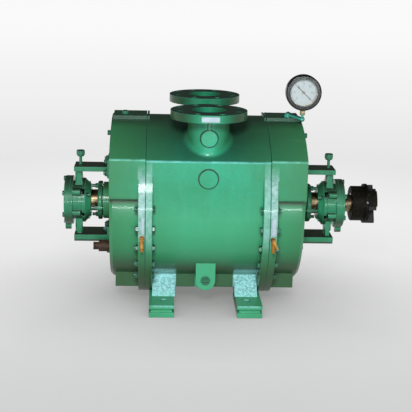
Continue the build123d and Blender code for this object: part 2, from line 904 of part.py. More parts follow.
with BuildPart() as joint_nuts:
    for side in (-1, 1):
        with BuildSketch(across(side * (head_start + ring_thickness))):
            joint_bolt_shapes(lambda: RegularPolygon(hex_corner, 6))
            joint_bolt_shapes(lambda: Circle(joint_bolt_radius + nut_play, mode=Mode.SUBTRACT))
        extrude(amount=side * hex_height)
save(joint_nuts, "joint_nuts")


def neck_post(side, arm_face, drum_face):
    """Adds the post between an arm and the drum, wider at the drum."""
    middle = (arm_face + drum_face) / 2
    waist = post_half_width + post_flare / 5
    foot = post_half_width + post_flare
    with BuildSketch(lengthwise(side)) as post:
        with BuildLine():
            Line((post_x - post_half_width, arm_face), (post_x + post_half_width, arm_face))
            ThreePointArc(
                (post_x + post_half_width, arm_face), (post_x + waist, middle), (post_x + foot, drum_face)
            )
            Line((post_x + foot, drum_face), (post_x - foot, drum_face))
            ThreePointArc(
                (post_x - foot, drum_face), (post_x - waist, middle), (post_x - post_half_width, arm_face)
            )
        make_face()
    extrude(post.sketch, amount=post_reach, both=True)


def make_bracket(side, name):
    """Bearing bracket: two foot plates, two arms, the necks and ribs, and the bearing drum."""
    with BuildPart() as bracket:
        slab(side, bracket_start, bracket_start + bracket_plate, 2 * plate_half_width, upper_plate_low,
             upper_plate_high)
        slab(side, bracket_start, bracket_start + bracket_plate, 2 * plate_half_width, lower_plate_low,
             lower_plate_high)
        slab(side, bracket_start, arm_end, 2 * arm_half_width, arm_top - arm_thickness, arm_top)
        with BuildSketch(across(side * bracket_start)) as lower_arm:
            with Locations((0, lower_arm_top - lower_arm_thickness / 2)):
                Rectangle(2 * lower_arm_half_width, lower_arm_thickness)
            chamfer(vertices().group_by(Axis.Y)[0], lower_arm_chamfer)
        extrude(amount=side * (arm_end - bracket_start))
        # Neck plates, thin at their ends, with a post at the middle that flares towards the drum
        neck_middle = (neck_start + neck_end) / 2
        with BuildSketch(level(lower_arm_top - post_seat)) as neck:
            Polygon(
                (side * neck_start, neck_edge),
                (side * neck_middle, neck_half_width),
                (side * neck_end, neck_edge),
                (side * neck_end, -neck_edge),
                (side * neck_middle, -neck_half_width),
                (side * neck_start, -neck_edge),
                align=None,
            )
        extrude(neck.sketch, amount=arm_top - arm_thickness - lower_arm_top + 2 * post_seat)
        neck_post(side, arm_top - arm_thickness + post_seat, bearing_outer)
        neck_post(side, lower_arm_top - post_seat, -bearing_outer)
        drum(side, drum_start, drum_end, drum_radius)
        drum(side, drum_start, drum_start + drum_inner_flange, drum_inner_radius)
        drum(side, drum_flange_start, drum_end, drum_flange_radius)
        with BuildSketch(across(side * drum_start)) as ribs:
            with Locations((0, upper_rib_height), (0, lower_rib_height)):
                RectangleRounded(2 * drum_rib_half_width, drum_rib_thickness, drum_rib_round)
        extrude(ribs.sketch, amount=side * (drum_flange_start - drum_start))
        drum(side, drum_start, drum_end, bearing_outer, mode=Mode.SUBTRACT)
        with BuildSketch(across(side * bracket_start)):
            bracket_stud_shapes(lambda: Circle(joint_bolt_radius + bolt_clearance))
        extrude(amount=side * bracket_plate, mode=Mode.SUBTRACT)
        # Grease passage, tapped at the top for the cup
        with BuildSketch(level(arm_top)):
            with Locations((side * cup_x, 0)):
                Circle(cup_stem_radius)
        extrude(amount=-cup_stem_root, mode=Mode.SUBTRACT)
        with BuildSketch(level(arm_top)):
            with Locations((side * cup_x, 0)):
                Circle(cup_stem_radius / 2)
        extrude(amount=bearing_outer - arm_top - drum_rib_thickness / 2, mode=Mode.SUBTRACT)
        # Screw holes of the two bearing covers
        with BuildSketch(across(side * drum_flange_start)):
            with PolarLocations(cover_screw_circle, cover_screw_count, cover_screw_angle):
                Circle(cover_screw_radius)
        extrude(amount=side * (drum_end - drum_flange_start), mode=Mode.SUBTRACT)
        with BuildSketch(across(side * drum_start)):
            with PolarLocations(inner_screw_circle, stud_count, inner_screw_angle):
                Circle(inner_screw_radius)
        extrude(amount=side * inner_screw_depth, mode=Mode.SUBTRACT)
    save(bracket, name)


make_bracket(-1, "left_bearing_bracket")
make_bracket(1, "right_bearing_bracket")

# Studs and nuts that hold the brackets to the heads
with BuildPart() as bracket_bolts:
    for side in (-1, 1):
        with BuildSketch(across(side * bracket_stud_root)):
            bracket_stud_shapes(lambda: Circle(joint_bolt_radius))
        extrude(amount=side * (bracket_start + bracket_plate + hex_height + bolt_end - bracket_stud_root))
        with BuildSketch(across(side * (bracket_start + bracket_plate))):
            bracket_stud_shapes(lambda: RegularPolygon(hex_corner, 6))
        extrude(amount=side * hex_height)
save(bracket_bolts, "bracket_bolts")


def make_outer_cover(side, name):
    """Outer bearing cover with its spigot, its lug below and, on the coupling side, the shaft hole."""
    with BuildPart() as cover:
        drum(side, drum_end, cover_end, cover_radius)
        chamfer(edges().filter_by(GeomType.CIRCLE).sort_by(Axis.X)[0 if side < 0 else -1], shaft_chamfer)
        with BuildSketch(across(side * drum_end)):
            with Locations((0, cover_lug_half - cover_lug_drop)):
                Circle(cover_lug_half)
                Rectangle(2 * cover_lug_half, cover_radius / 2, align=(Align.CENTER, Align.MIN))
        extrude(amount=side * (cover_end - drum_end))
        drum(side, bearing_end, drum_end, bearing_outer - seat_fit, cover_spigot)
        drum(side, drum_end, cover_cavity_end, cover_cavity, mode=Mode.SUBTRACT)
        if side > 0:
            drum(side, drum_end, cover_end, shaft_radius + running_clearance, mode=Mode.SUBTRACT)
        with BuildSketch(across(side * drum_end)):
            with PolarLocations(cover_screw_circle, cover_screw_count, cover_screw_angle):
                Circle(cover_screw_radius + bolt_clearance / 2)
        extrude(amount=side * (cover_end - drum_end), mode=Mode.SUBTRACT)
    save(cover, name)


make_outer_cover(-1, "left_outer_cover")
make_outer_cover(1, "right_outer_cover")


def make_inner_cover(side, name):
    """Inner bearing cover: a cone with flat seats for its screws, and a spigot."""
    with BuildPart() as cover:
        with BuildSketch(across(side * drum_start)) as disc:
            Circle(inner_cover_radius)
        extrude(disc.sketch, amount=-side * (drum_start - inner_cover_end), taper=inner_cover_slope)
        with BuildSketch(across(side * inner_cover_end)) as seats:
            with PolarLocations(inner_screw_circle, stud_count, inner_screw_angle):
                Circle(inner_seat_radius)
        extrude(seats.sketch, amount=side * inner_seat_depth, mode=Mode.SUBTRACT)
        drum(side, drum_start, bearing_start, bearing_outer - seat_fit, cover_spigot)
        drum(side, inner_cover_end, drum_start, spacer_radius + running_clearance, mode=Mode.SUBTRACT)
        with BuildSketch(across(side * inner_cover_end)):
            with PolarLocations(inner_screw_circle, stud_count, inner_screw_angle):
                Circle(inner_screw_radius + bolt_clearance / 2)
        extrude(amount=side * (drum_start - inner_cover_end), mode=Mode.SUBTRACT)
    save(cover, name)


make_inner_cover(-1, "left_inner_cover")
make_inner_cover(1, "right_inner_cover")

# Screws of the bearing covers
inner_seat = inner_cover_end + inner_seat_depth
with BuildPart() as cover_screws:
    for side in (-1, 1):
        with BuildSketch(across(side * drum_flange_start)):
            with PolarLocations(cover_screw_circle, cover_screw_count, cover_screw_angle):
                Circle(cover_screw_radius)
        extrude(amount=side * (cover_end - drum_flange_start))
        with BuildSketch(across(side * cover_end)):
            with PolarLocations(cover_screw_circle, cover_screw_count, cover_screw_angle):
                RegularPolygon(cover_screw_corner, 6)
        extrude(amount=side * cover_screw_head)
        with BuildSketch(across(side * inner_seat)):
            with PolarLocations(inner_screw_circle, stud_count, inner_screw_angle):
                Circle(inner_screw_radius)
        extrude(amount=side * (drum_start + inner_screw_depth - inner_seat))
        with BuildSketch(across(side * inner_seat)):
            with PolarLocations(inner_screw_circle, stud_count, inner_screw_angle):
                RegularPolygon(inner_screw_corner, 6)
        extrude(amount=-side * inner_screw_head)
save(cover_screws, "cover_screws")


def make_outer_race(side, name):
    """Outer race of a roller bearing."""
    with BuildPart() as race:
        drum(side, bearing_start, bearing_end, bearing_outer - seat_fit, outer_race_inner)
    save(race, name)


make_outer_race(-1, "left_bearing_outer_race")
make_outer_race(1, "right_bearing_outer_race")

# Inner races, rollers and cages of both bearings
with BuildPart() as bearing_inner_races:
    for side in (-1, 1):
        drum(side, bearing_start, bearing_end, inner_race_outer, shaft_radius + seat_fit)
save(bearing_inner_races, "bearing_inner_races")

roller_start = bearing_start + (bearing_width - roller_length) / 2
with BuildPart() as bearing_rollers:
    for side in (-1, 1):
        with BuildSketch(across(side * roller_start)):
            with PolarLocations(roller_circle, roller_count):
                Circle(roller_radius)
        extrude(amount=side * roller_length)
save(bearing_rollers, "bearing_rollers")

with BuildPart() as roller_cages:
    for side in (-1, 1):
        drum(side, bearing_start + cage_margin, bearing_end - cage_margin, cage_outer, cage_inner)
        with BuildSketch(across(side * (roller_start - pocket_play))):
            with PolarLocations(roller_circle, roller_count):
                Circle(roller_radius + pocket_play)
        extrude(amount=side * (roller_length + 2 * pocket_play), mode=Mode.SUBTRACT)
save(roller_cages, "roller_cages")

# Locknuts that hold the bearings on the shaft
with BuildPart() as bearing_locknuts:
    for side in (-1, 1):
        with BuildSketch(across(side * bearing_end)):
            Circle(locknut_radius)
            Circle(shaft_radius + seat_fit, mode=Mode.SUBTRACT)
            with PolarLocations(locknut_radius, 4):
                Rectangle(locknut_width, locknut_width, mode=Mode.SUBTRACT)
        extrude(amount=side * locknut_width)
save(bearing_locknuts, "bearing_locknuts")

# Grease cups: a hollow cup on a stem, under a cap that screws down
with BuildPart() as grease_cup_bases:
    with BuildSketch(level(arm_top - cup_stem_root)):
        with GridLocations(2 * cup_x, 0, 2, 1):
            Circle(cup_stem_radius)
    extrude(amount=cup_low - arm_top + cup_stem_root)
    with BuildSketch(level(cup_low)):
        with GridLocations(2 * cup_x, 0, 2, 1):
            Circle(cup_radius)
    extrude(amount=cup_high - cup_low)
    with BuildSketch(level(cup_high)):
        with GridLocations(2 * cup_x, 0, 2, 1):
            Circle(cup_radius - cap_roof)
    extrude(amount=(cup_low - cup_high) / 2, mode=Mode.SUBTRACT)
save(grease_cup_bases, "grease_cup_bases")


def make_grease_cap(side, name):
    """Cap of a grease cup."""
    with BuildPart() as cap:
        with BuildSketch(level(cap_low)):
            with Locations((side * cup_x, 0)):
                Circle(cap_radius)
        extrude(amount=cap_high - cap_low)
        fillet(edges().filter_by(GeomType.CIRCLE).sort_by(Axis.Z)[-1], cap_roof - 1)
        with BuildSketch(level(cap_low)):
            with Locations((side * cup_x, 0)):
                Circle(cap_bore)
        extrude(amount=cap_high - cap_roof - cap_low, mode=Mode.SUBTRACT)
    save(cap, name)


make_grease_cap(-1, "left_grease_cap")
make_grease_cap(1, "right_grease_cap")


def spider_legs(width, reach):
    """Draws the legs of the coupling spider, one on each side of every jaw."""
    with PolarLocations(0, 6, jaw_angle + 30):
        with Locations((reach / 2, 0)):
            Rectangle(reach, width)


# Coupling half with three jaws
with BuildPart() as coupling_half:
    drum(1, coupling_near, hub_end, hub_radius)
    drum(1, hub_end, jaw_plate_end, jaw_radius)
    chamfer(edges().filter_by(GeomType.CIRCLE).sort_by(Axis.X)[0], shaft_chamfer)
    with BuildSketch(across(jaw_plate_end)):
        with PolarLocations(0, 3, jaw_angle):
            Polygon(
                (0, 0),
                (2 * jaw_radius, -2 * jaw_radius / 3**0.5),
                (2 * jaw_radius, 2 * jaw_radius / 3**0.5),
                align=None,
            )
        Circle(jaw_radius, mode=Mode.INTERSECT)
        Circle(jaw_bore, mode=Mode.SUBTRACT)
    extrude(amount=jaw_end - jaw_plate_end)
    with BuildSketch(across(jaw_plate_end)):
        spider_legs(leg_width + 2 * spider_gap, 2 * jaw_radius)
    extrude(amount=jaw_end - jaw_plate_end, mode=Mode.SUBTRACT)
    drum(1, coupling_near, jaw_plate_end, shaft_radius + seat_fit, mode=Mode.SUBTRACT)
    with BuildSketch(across(coupling_near)):
        with Locations((0, shaft_radius)):
            Rectangle(key_width, key_height)
    extrude(amount=coupling_key_length, mode=Mode.SUBTRACT)
    radial = Plane(
        origin=(set_screw_x, 0, shaft_height),
        x_dir=(1, 0, 0),
        z_dir=Vector(0, 1, 0).rotate(Axis.X, set_screw_angle),
    )
    with BuildSketch(radial):
        Circle(set_screw_radius)
    extrude(amount=jaw_radius + set_screw_radius, mode=Mode.SUBTRACT)
save(coupling_half, "coupling_half")

with BuildPart() as coupling_set_screw:
    with BuildSketch(radial.offset(shaft_radius)):
        Circle(set_screw_radius - seat_fit)
    extrude(amount=jaw_radius - shaft_radius - set_screw_radius)
    with BuildSketch(radial.offset(jaw_radius - set_screw_radius)):
        RegularPolygon(set_screw_radius / 2, 6)
    extrude(amount=-set_screw_radius, mode=Mode.SUBTRACT)
save(coupling_set_screw, "coupling_set_screw")

with BuildPart() as coupling_spider:
    with BuildSketch(across(jaw_plate_end + spider_gap)):
        spider_legs(leg_width, leg_reach)
        Circle(spider_ring)
        Circle(spider_bore, mode=Mode.SUBTRACT)
    extrude(amount=spider_end - jaw_plate_end - spider_gap)
save(coupling_spider, "coupling_spider")

# Elbow, slanting pipe, upright stem and hexagon under the gauge
with BuildPart() as gauge_pipe:
    with BuildSketch(level(pad_height - tap_depth)):
        with Locations((tap_x, tap_y)):
            Circle(tap_thread - seat_fit)
    extrude(amount=tap_depth)
    with BuildSketch(level(pad_height)):
        with Locations((tap_x, tap_y)):
            Circle(tap_radius)
    extrude(amount=pipe_height - pad_height)
    with Locations((tap_x, tap_y, shaft_height + pipe_height)):
        Sphere(tap_radius - pipe_wall)
    elbow = Vector(tap_x, tap_y, shaft_height + pipe_height)
    corner = Vector(gauge_x, gauge_y, shaft_height + pipe_height - pipe_fall)
    with BuildSketch(Plane(origin=elbow, z_dir=corner - elbow)):
        Circle(pipe_radius)
    extrude(amount=(corner - elbow).length)
    with Locations(corner):
        Sphere(pipe_radius + pipe_wall)
    with BuildSketch(Plane(origin=corner)):
        Circle(stem_radius)
    extrude(amount=stem_start - pipe_height + pipe_fall)
    with BuildSketch(level(stem_start)):
        with Locations((gauge_x, gauge_y)):
            RegularPolygon(gauge_hex_corner, 6)
    extrude(amount=gauge_height - gauge_radius - stem_start - seat_fit)
save(gauge_pipe, "gauge_pipe")


def gauge_face(depth):
    """An upright plane across the gauge, at a depth behind its front."""
    return Plane(
        origin=(gauge_x, gauge_y - gauge_depth / 2 + depth, shaft_height + gauge_height),
        x_dir=(1, 0, 0),
        z_dir=(0, -1, 0),
    )


with BuildPart() as gauge_case:
    with BuildSketch(gauge_face(gauge_depth)):
        Circle(gauge_radius)
    extrude(amount=gauge_depth)
    fillet(edges().filter_by(GeomType.CIRCLE), bezel_round)
    with BuildSketch(gauge_face(gauge_depth - gauge_back)):
        Circle(dial_radius)
    extrude(amount=gauge_depth - gauge_back - bezel_lip, mode=Mode.SUBTRACT)
    with BuildSketch(gauge_face(0)):
        Circle(bezel_bore)
    extrude(amount=-bezel_lip, mode=Mode.SUBTRACT)
save(gauge_case, "gauge_case")

with BuildPart() as gauge_dial:
    with BuildSketch(gauge_face(dial_setback)):
        Circle(dial_radius - seat_fit)
        Circle(pointer_pin_radius + slide_clearance, mode=Mode.SUBTRACT)
    extrude(amount=-dial_thickness)
save(gauge_dial, "gauge_dial")

with BuildPart() as gauge_glass:
    with BuildSketch(gauge_face(bezel_lip)):
        Circle(dial_radius - seat_fit)
    extrude(amount=-glass_thickness)
save(gauge_glass, "gauge_glass")

# Pointer with its pin through the dial
with BuildPart() as gauge_pointer:
    with BuildSketch(gauge_face(dial_setback - pointer_gap)):
        with Locations(Rotation(0, 0, pointer_rest_angle)):
            Polygon(
                (pointer_length, 0),
                (pointer_length - pointer_head_length, pointer_head_width / 2),
                (pointer_length - pointer_head_length, pointer_width / 2),
                (-pointer_tail, pointer_width / 2),
                (-pointer_tail, -pointer_width / 2),
                (pointer_length - pointer_head_length, -pointer_width / 2),
                (pointer_length - pointer_head_length, -pointer_head_width / 2),
                align=None,
            )
        Circle(pointer_hub)
    extrude(amount=pointer_thickness)
    with BuildSketch(gauge_face(dial_setback - pointer_gap)):
        Circle(pointer_pin_radius)
    extrude(amount=-pointer_gap - dial_thickness)
save(gauge_pointer, "gauge_pointer")


def handle_outline(side, turn, inset):
    """Draws a cock handle with its hub, smaller all round by the inset."""
    width = handle_width - 2 * inset
    with Locations(Location((side * cock_x, -cock_drop, 0), (0, 0, turn))):
        with Locations((0, (handle_tail - handle_length) / 2)):
            RectangleRounded(width, handle_length + handle_tail - 2 * inset, width / 2 - 1)
    with Locations((side * cock_x, -cock_drop)):
        Circle(handle_hub - inset)


def make_cock(side, name, handle_name, turn):
    """Drain cock on the joint flange: hexagon, body and spout, and the handle that turns."""
    with BuildPart() as cock:
        with BuildSketch(facing(cock_base_back)):
            with Locations((side * cock_x, -cock_drop)):
                RegularPolygon(cock_base_corner, 6)
        extrude(amount=cock_base_front - cock_base_back)
        with BuildSketch(facing(cock_base_back)):
            with Locations((side * cock_x, -cock_drop)):
                Circle(cock_radius - seat_fit)
        extrude(amount=cock_front - cock_base_back)
        with BuildSketch(facing(cock_base_back)):
            with Locations((side * cock_x, -cock_drop)):
                Circle(cock_radius - seat_fit)
        extrude(amount=ring_radius - cock_depth - cock_base_back)
        spout_y = (cock_base_front + cock_front) / 2
        with BuildSketch(level(-cock_drop)) as spout:
            with Locations((side * cock_x, -spout_y)):
                Circle(cock_spout_radius)
        extrude(spout.sketch, amount=-cock_spout, taper=cock_spout_taper)
    save(cock, name)
    with BuildPart() as handle:
        for front, inset in ((cock_front + slide_clearance, 0), (handle_middle, handle_inset)):
            with BuildSketch(facing(front)):
                handle_outline(side, turn, inset)
            extrude(amount=handle_thickness / 2)
    save(handle, handle_name)


make_cock(-1, "left_cock_body", "left_cock_handle", 0)
make_cock(1, "right_cock_body", "right_cock_handle", right_handle_turn)

# Plugs in the left crown pad and in the end faces of the heads
with BuildPart() as head_plugs:
    with BuildSketch(level(pad_height)):
        with Locations((-plug_x, plug_y)):
            Circle(plug_radius)
    extrude(amount=plug_height)
    fillet(edges().filter_by(GeomType.CIRCLE).sort_by(Axis.Z)[-1], plug_height / 3)
    with BuildSketch(level(pad_height - tap_depth)):
        with Locations((-plug_x, plug_y)):
            Circle(tap_thread - seat_fit)
    extrude(amount=tap_depth)
    for side in (-1, 1):
        with BuildSketch(across(side * head_end)):
            with Locations((end_plug_y, end_plug_height)):
                RegularPolygon(end_plug_radius, 6)
        extrude(amount=side * end_plug_length)
        with BuildSketch(across(side * head_end)):
            with Locations((end_plug_y, end_plug_height)):
                Circle(end_plug_thread - seat_fit)
        extrude(amount=-side * end_plug_length)
save(head_plugs, "head_plugs")

# Water inlet: a pipe nipple with a collar, notched at its open end
with BuildPart() as inlet_nipple:
    with BuildSketch(across(-head_end + casting_wall)):
        with Locations((nipple_y, nipple_height)):
            Circle(nipple_radius - seat_fit)
    extrude(amount=-(nipple_end - head_end + casting_wall))
    with BuildSketch(across(-head_end)):
        with Locations((nipple_y, nipple_height)):
            Circle(nipple_collar)
    extrude(amount=-nipple_collar_length)
    with BuildSketch(across(-head_end + casting_wall)):
        with Locations((nipple_y, nipple_height)):
            Circle(nipple_bore)
    extrude(amount=-(nipple_end - head_end + casting_wall), mode=Mode.SUBTRACT)
    with BuildSketch(across(-nipple_end)):
        with Locations((nipple_y, nipple_height)):
            with PolarLocations(nipple_radius, nipple_notches):
                Rectangle(4 * (nipple_radius - nipple_bore), nipple_notch_width)
    extrude(amount=nipple_notch_depth, mode=Mode.SUBTRACT)
save(inlet_nipple, "inlet_nipple")

# Drain plug, flush in the drain boss, with a square socket
with BuildPart() as drain_plug:
    with BuildSketch(facing(drain_boss_front)):
        with Locations((0, -drain_boss_top - drain_boss_drop)):
            Circle(drain_plug_radius - seat_fit)
    extrude(amount=-drain_plug_depth)
    with BuildSketch(facing(drain_boss_front)):
        with Locations((0, -drain_boss_top - drain_boss_drop)):
            Rectangle(drain_plug_radius, drain_plug_radius)
    extrude(amount=-drain_plug_depth / 2, mode=Mode.SUBTRACT)
save(drain_plug, "drain_plug")
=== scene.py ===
import json
import math

import bmesh
import bpy
from mathutils import Matrix, Vector


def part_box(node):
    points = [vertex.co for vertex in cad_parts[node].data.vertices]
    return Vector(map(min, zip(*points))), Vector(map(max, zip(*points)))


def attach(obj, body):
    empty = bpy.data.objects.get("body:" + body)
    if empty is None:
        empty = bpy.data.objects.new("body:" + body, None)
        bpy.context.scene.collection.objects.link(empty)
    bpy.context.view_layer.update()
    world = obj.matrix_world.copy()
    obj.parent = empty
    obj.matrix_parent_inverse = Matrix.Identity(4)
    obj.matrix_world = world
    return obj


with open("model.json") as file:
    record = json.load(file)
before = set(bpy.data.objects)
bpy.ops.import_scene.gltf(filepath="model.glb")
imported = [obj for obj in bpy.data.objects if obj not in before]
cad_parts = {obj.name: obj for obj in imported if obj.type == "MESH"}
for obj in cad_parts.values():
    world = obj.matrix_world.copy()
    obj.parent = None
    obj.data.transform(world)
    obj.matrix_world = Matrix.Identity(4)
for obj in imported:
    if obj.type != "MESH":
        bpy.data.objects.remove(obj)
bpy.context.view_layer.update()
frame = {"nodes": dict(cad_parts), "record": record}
nodes = frame["nodes"]
SH = 0.296  # height of the shaft above the base
RING_RADIUS = 0.284  # rim of the two joint rings
RING_INSIDE, RING_OUTSIDE = 0.163, 0.205  # |x| of the faces that the joint bolts clamp
BOLT_CIRCLE = 0.266  # radius of the joint bolts' circle


def set_camera():
    """The camera that was solved from measured points of the photo."""
    yaw, pitch, roll = 0.046, 0.242, 0.024
    level = math.cos(pitch)
    forward = Vector((math.sin(yaw) * level, math.cos(yaw) * level, -math.sin(pitch)))
    right = Vector((math.cos(yaw), -math.sin(yaw), 0))
    up = right.cross(forward)
    right2 = right * math.cos(roll) + up * math.sin(roll)
    up2 = up * math.cos(roll) - right * math.sin(roll)
    data = bpy.data.cameras.new("camera")
    data.sensor_width = 36
    data.lens = 93.03
    data.clip_end = 100
    cam = bpy.data.objects.new("camera", data)
    rot = Matrix((right2, up2, -forward)).transposed().to_4x4()
    cam.matrix_world = Matrix.Translation((-0.1461, -3.2973, 1.0949)) @ rot
    bpy.context.scene.collection.objects.link(cam)
    bpy.context.scene.camera = cam


set_camera()
bpy.context.scene.view_settings.view_transform = "Standard"


def srgb(r, g, b):
    """A colour of 0 to 255 a channel, as the linear values that a socket takes."""
    def lin(v):
        v /= 255
        return v / 12.92 if v <= 0.04045 else ((v + 0.055) / 1.055) ** 2.4
    return (lin(r), lin(g), lin(b), 1)


class Mat:
    """Small helper to wire a procedural material."""

    def __init__(self, name):
        self.mat = bpy.data.materials.new(name)
        self.mat.use_nodes = True
        self.tree = self.mat.node_tree
        self.tree.nodes.clear()
        self.out = self.add("ShaderNodeOutputMaterial")
        self.coord = self.add("ShaderNodeTexCoord")

    def add(self, kind, **props):
        node = self.tree.nodes.new(kind)
        for key, value in props.items():
            setattr(node, key, value)
        return node

    def link(self, a, b):
        self.tree.links.new(a, b)

    def noise(self, scale, detail=4, rough=0.55, stretch=(1, 1, 1)):
        mapping = self.add("ShaderNodeMapping")
        mapping.inputs["Scale"].default_value = stretch
        self.link(self.coord.outputs["Object"], mapping.inputs["Vector"])
        tex = self.add("ShaderNodeTexNoise")
        tex.inputs["Scale"].default_value = scale
        tex.inputs["Detail"].default_value = detail
        tex.inputs["Roughness"].default_value = rough
        self.link(mapping.outputs["Vector"], tex.inputs["Vector"])
        return tex.outputs["Fac"]

    def ramp(self, fac, stops):
        ramp = self.add("ShaderNodeValToRGB")
        while len(ramp.color_ramp.elements) < len(stops):
            ramp.color_ramp.elements.new(0.5)
        for element, (pos, col) in zip(ramp.color_ramp.elements, stops):
            element.position = pos
            element.color = col
        self.link(fac, ramp.inputs["Fac"])
        return ramp.outputs["Color"]

    def maths(self, op, a, b=0.0):
        node = self.add("ShaderNodeMath", operation=op)
        for socket, value in zip(node.inputs, (a, b)):
            if isinstance(value, (int, float)):
                socket.default_value = value
            else:
                self.link(value, socket)
        return node.outputs[0]

    def times(self, a, b):
        return self.maths("MULTIPLY", a, b)

    def reach(self, a, b):
        """Distance from the place where a and b are both 0."""
        return self.maths("SQRT", self.maths("ADD", self.times(a, a), self.times(b, b)))

    def mix(self, fac, a, b, blend="MIX"):
        node = self.add("ShaderNodeMix", data_type="RGBA", blend_type=blend)
        for socket, value in ((node.inputs[0], fac), (node.inputs[6], a), (node.inputs[7], b)):
            if isinstance(value, (int, float, tuple)):
                socket.default_value = value
            else:
                self.link(value, socket)
        return node.outputs[2]

    def spread(self, fac, low, high, to_low=0.0, to_high=1.0):
        node = self.add("ShaderNodeMapRange")
        node.inputs["From Min"].default_value = low
        node.inputs["From Max"].default_value = high
        node.inputs["To Min"].default_value = to_low
        node.inputs["To Max"].default_value = to_high
        self.link(fac, node.inputs["Value"])
        return node.outputs["Result"]

    def edge_mask(self, radius):
        """Bright along edges: where the rounded normal leaves the true one."""
        bevel = self.add("ShaderNodeBevel", samples=4)
        bevel.inputs["Radius"].default_value = radius
        geo = self.add("ShaderNodeNewGeometry")
        dot = self.add("ShaderNodeVectorMath", operation="DOT_PRODUCT")
        self.link(bevel.outputs["Normal"], dot.inputs[0])
        self.link(geo.outputs["Normal"], dot.inputs[1])
        return self.spread(dot.outputs["Value"], 0.98, 0.80)

    def shader(self, color, metallic=0.0, rough=0.4, bumps=(), bevel=0.0, coat=0.0, coat_rough=0.1,
               gloss=0.5):
        bsdf = self.add("ShaderNodeBsdfPrincipled")
        self.link(color, bsdf.inputs["Base Color"])
        bsdf.inputs["Metallic"].default_value = metallic
        if isinstance(rough, (int, float)):
            bsdf.inputs["Roughness"].default_value = rough
        else:
            self.link(rough, bsdf.inputs["Roughness"])
        bsdf.inputs["Coat Weight"].default_value = coat
        bsdf.inputs["Coat Roughness"].default_value = coat_rough
        bsdf.inputs["Specular IOR Level"].default_value = gloss
        normal = None
        if bevel:
            node = self.add("ShaderNodeBevel", samples=4)
            node.inputs["Radius"].default_value = bevel
            normal = node.outputs["Normal"]
        for height, strength, distance in bumps:
            bump = self.add("ShaderNodeBump")
            bump.inputs["Strength"].default_value = strength
            bump.inputs["Distance"].default_value = distance
            self.link(height, bump.inputs["Height"])
            if normal is not None:
                self.link(normal, bump.inputs["Normal"])
            normal = bump.outputs["Normal"]
        if normal is not None:
            self.link(normal, bsdf.inputs["Normal"])
        self.link(bsdf.outputs[0], self.out.inputs["Surface"])
        return self.mat


def paint(name, light, dark, edge, rough=0.34, cast=0.5, wear_and_highlight=0.35, top_shade_tone=srgb(16, 28, 18),
          shade=srgb(44, 68, 34), extra=None):
    """Enamel over cast iron: tone drift, painted shade on tops and undersides, worn edges with a painted
    highlight, peel, grain.
    """
    m = Mat(name)
    drift = m.spread(m.noise(5.5, 3, 0.5), 0.35, 0.65)
    cloud = m.spread(m.noise(24, 5, 0.6), 0.40, 0.62)
    speck = m.spread(m.noise(210, 3, 0.6), 0.56, 0.70)
    runs = m.spread(m.noise(16, 4, 0.6, stretch=(3, 3, 0.35)), 0.5, 0.75)
    color = m.mix(m.times(drift, 0.55), light, dark)
    color = m.mix(m.times(cloud, 0.30), color, dark)
    color = m.mix(m.times(runs, 0.12), color, edge)
    color = m.mix(m.times(speck, 0.16), color, dark)
    geo = m.add("ShaderNodeNewGeometry")
    split = m.add("ShaderNodeSeparateXYZ")
    m.link(geo.outputs["Normal"], split.inputs[0])
    patches = m.noise(9, 4, 0.6)
    # Painted shade: faces turned downwards darken towards the shade colour.
    underside_shade = m.times(m.spread(split.outputs["Z"], -0.18, -0.62), m.spread(patches, 0.2, 0.8, 0.7, 1.0))
    color = m.mix(m.times(underside_shade, 0.93), color, shade)
    # Painted shade: upward faces darken to a near black tone; the roughness below also rises there.
    top_shade = m.times(m.spread(split.outputs["Z"], 0.20, 0.95), m.spread(patches, 0.2, 0.8, 0.92, 1.0))
    color = m.mix(m.times(top_shade, 0.97), color, top_shade_tone)
    if extra:
        color = extra(m, color, split)
    # Worn edges, whose pale edge colour also stands as a painted edge highlight.
    edge_wear_and_highlight = m.times(m.edge_mask(0.0022), m.spread(m.noise(60, 4, 0.6), 0.3, 0.7, wear_and_highlight, 1.0))
    color = m.mix(m.times(edge_wear_and_highlight, wear_and_highlight * 1.8), color, edge)
    roughness = m.spread(m.noise(38, 4, 0.6), 0.3, 0.7, rough - 0.07, rough + 0.10)
    roughness = m.maths("ADD", roughness, m.times(top_shade, 0.45))
    peel = m.noise(150, 2, 0.5)
    grain = m.noise(520, 4, 0.65)
    return m.shader(color, 0.0, roughness, ((grain, 0.18 * cast, 0.0012), (peel, 0.22, 0.0016)),
                    bevel=0.003, coat=0.25, coat_rough=0.10, gloss=0.35)


def position(m):
    """The point's x, y and z in the part's frame."""
    split = m.add("ShaderNodeSeparateXYZ")
    m.link(m.coord.outputs["Object"], split.inputs[0])
    return split.outputs["X"], split.outputs["Y"], split.outputs["Z"]


def band(m, value, low, high, soft):
    """One inside low..high, falling to nothing over the soft margin."""
    return m.times(m.spread(value, low - soft, low), m.spread(value, high + soft, high))


def circle_line(m, x, z, cx, cz, radius, width):
    """A line round the point cx, cz of the front."""
    reach = m.reach(m.maths("SUBTRACT", x, cx), m.maths("SUBTRACT", z, cz))
    return band(m, reach, radius - width / 2, radius + width / 2, 0.0012)


